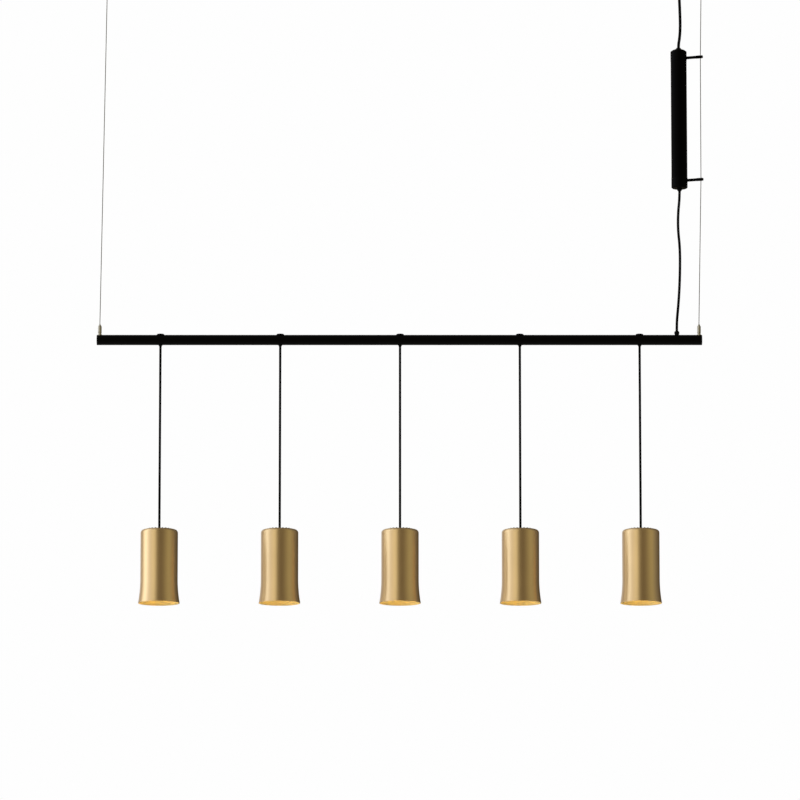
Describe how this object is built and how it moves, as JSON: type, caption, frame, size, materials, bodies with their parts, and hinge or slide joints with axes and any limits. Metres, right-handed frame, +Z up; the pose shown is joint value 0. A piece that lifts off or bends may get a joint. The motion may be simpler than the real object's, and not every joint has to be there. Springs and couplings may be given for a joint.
{
  "type": "linear island pendant",
  "caption": "Long black tube hung level on thin steel cables, with brass shades below it on black cords and a cylindrical driver clamped to one cable.",
  "frame": {"origin": "on the ceiling plane, midway between the two cable anchors, which is also the middle of their screw pattern", "axes": "+Z up, out through the ceiling; +X along the tube towards the end that carries the driver; +Y away from the viewer of the picture"},
  "size_m": [1.5165, 0.1026, 1.5749],
  "materials": {
    "powder_coated_steel": "satin black powder coat",
    "powder_coated_aluminium": "satin black powder coat",
    "driver_coated_aluminium": "smooth satin black powder coat",
    "spun_brass": "satin, clear lacquered",
    "nickel_plated_brass": "satin nickel plate",
    "stainless_cable": "bright drawn strands",
    "zinc_plated_steel": "zinc plate",
    "black_oxide_steel": "black oxide",
    "black_anodised_aluminium": "matt black anodised",
    "black_abs": "fine moulded texture",
    "black_nylon": "moulded",
    "black_pvc": "extruded, matt",
    "black_rubber": "moulded, matt",
    "white_polypropylene": "moulded",
    "circuit_board": "solder mask",
    "led_board": "white solder mask",
    "opal_acrylic": "satin opal, lit from inside"
  },
  "bodies": {
    "ceiling": {"ceiling_anchors": "zinc_plated_steel", "anchor_caps": "nickel_plated_brass", "canopy_bracket": "zinc_plated_steel", "canopy_cover": "powder_coated_steel", "canopy_outlet": "black_nylon", "terminal_block": "white_polypropylene"},
    "light_frame": {"cable_left": "stainless_cable", "cable_right": "stainless_cable", "cable_ball_ends": "stainless_cable", "cord_stop": "black_nylon", "bar_tube": "powder_coated_steel", "end_plugs": "powder_coated_aluminium", "bar_top_plugs": "black_abs", "bar_wiring": "white_polypropylene", "pendant_glands": "black_nylon", "cord_entry_gland": "black_nylon", "grip_left": "nickel_plated_brass", "grip_right": "nickel_plated_brass", "grip_jaws": "stainless_cable", "driver_tube": "driver_coated_aluminium", "driver_cap_top": "black_abs", "driver_cap_bottom": "black_abs", "driver_board": "circuit_board", "driver_screws": "black_oxide_steel", "clamp_arm_top": "powder_coated_aluminium", "clamp_arm_bottom": "powder_coated_aluminium", "mains_cord_upper": "black_pvc", "mains_cord_lower": "black_pvc"},
    "plunger_left": {"plunger_left": "nickel_plated_brass"},
    "plunger_right": {"plunger_right": "nickel_plated_brass"},
    "swivel_1": {"sleeve_1": "black_rubber"},
    "pendant_1": {"cord_1": "black_pvc", "shade_1": "spun_brass", "heat_sink_1": "black_anodised_aluminium", "led_board_1": "led_board", "diffuser_1": "opal_acrylic"},
    "swivel_2": {"sleeve_2": "black_rubber"},
    "pendant_2": {"cord_2": "black_pvc", "shade_2": "spun_brass", "heat_sink_2": "black_anodised_aluminium", "led_board_2": "led_board", "diffuser_2": "opal_acrylic"},
    "swivel_3": {"sleeve_3": "black_rubber"},
    "pendant_3": {"cord_3": "black_pvc", "shade_3": "spun_brass", "heat_sink_3": "black_anodised_aluminium", "led_board_3": "led_board", "diffuser_3": "opal_acrylic"},
    "swivel_4": {"sleeve_4": "black_rubber"},
    "pendant_4": {"cord_4": "black_pvc", "shade_4": "spun_brass", "heat_sink_4": "black_anodised_aluminium", "led_board_4": "led_board", "diffuser_4": "opal_acrylic"},
    "swivel_5": {"sleeve_5": "black_rubber"},
    "pendant_5": {"cord_5": "black_pvc", "shade_5": "spun_brass", "heat_sink_5": "black_anodised_aluminium", "led_board_5": "led_board", "diffuser_5": "opal_acrylic"}
  },
  "joints": [
    {"name": "light_swing", "type": "hinge", "parent": "ceiling", "child": "light_frame", "pos_m": [0, 0, -0.02], "axis": [1, 0, 0], "range_deg": [-15, 15]},
    {"name": "plunger_left_press", "type": "slide", "parent": "light_frame", "child": "plunger_left", "axis": [0, 0, -1], "range_m": [0, 0.002], "stiffness_N_per_m": 500, "springref_m": -0.001},
    {"name": "plunger_right_press", "type": "slide", "parent": "light_frame", "child": "plunger_right", "axis": [0, 0, -1], "range_m": [0, 0.002], "stiffness_N_per_m": 500, "springref_m": -0.001},
    {"name": "pendant_1_sway_along", "type": "hinge", "parent": "light_frame", "child": "swivel_1", "pos_m": [-0.604, 0, -0.929], "axis": [0, 1, 0], "range_deg": [-8, 8]},
    {"name": "pendant_1_sway_across", "type": "hinge", "parent": "swivel_1", "child": "pendant_1", "pos_m": [-0.604, 0, -0.93581], "axis": [1, 0, 0], "range_deg": [-25, 25]},
    {"name": "pendant_2_sway_along", "type": "hinge", "parent": "light_frame", "child": "swivel_2", "pos_m": [-0.30725, 0, -0.929], "axis": [0, 1, 0], "range_deg": [-8, 8]},
    {"name": "pendant_2_sway_across", "type": "hinge", "parent": "swivel_2", "child": "pendant_2", "pos_m": [-0.30725, 0, -0.93581], "axis": [1, 0, 0], "range_deg": [-25, 25]},
    {"name": "pendant_3_sway_along", "type": "hinge", "parent": "light_frame", "child": "swivel_3", "pos_m": [-0.0105, 0, -0.929], "axis": [0, 1, 0], "range_deg": [-8, 8]},
    {"name": "pendant_3_sway_across", "type": "hinge", "parent": "swivel_3", "child": "pendant_3", "pos_m": [-0.0105, 0, -0.93581], "axis": [1, 0, 0], "range_deg": [-25, 25]},
    {"name": "pendant_4_sway_along", "type": "hinge", "parent": "light_frame", "child": "swivel_4", "pos_m": [0.28625, 0, -0.929], "axis": [0, 1, 0], "range_deg": [-8, 8]},
    {"name": "pendant_4_sway_across", "type": "hinge", "parent": "swivel_4", "child": "pendant_4", "pos_m": [0.28625, 0, -0.93581], "axis": [1, 0, 0], "range_deg": [-25, 25]},
    {"name": "pendant_5_sway_along", "type": "hinge", "parent": "light_frame", "child": "swivel_5", "pos_m": [0.583, 0, -0.929], "axis": [0, 1, 0], "range_deg": [-8, 8]},
    {"name": "pendant_5_sway_across", "type": "hinge", "parent": "swivel_5", "child": "pendant_5", "pos_m": [0.583, 0, -0.93581], "axis": [1, 0, 0], "range_deg": [-25, 25]}
  ]
}
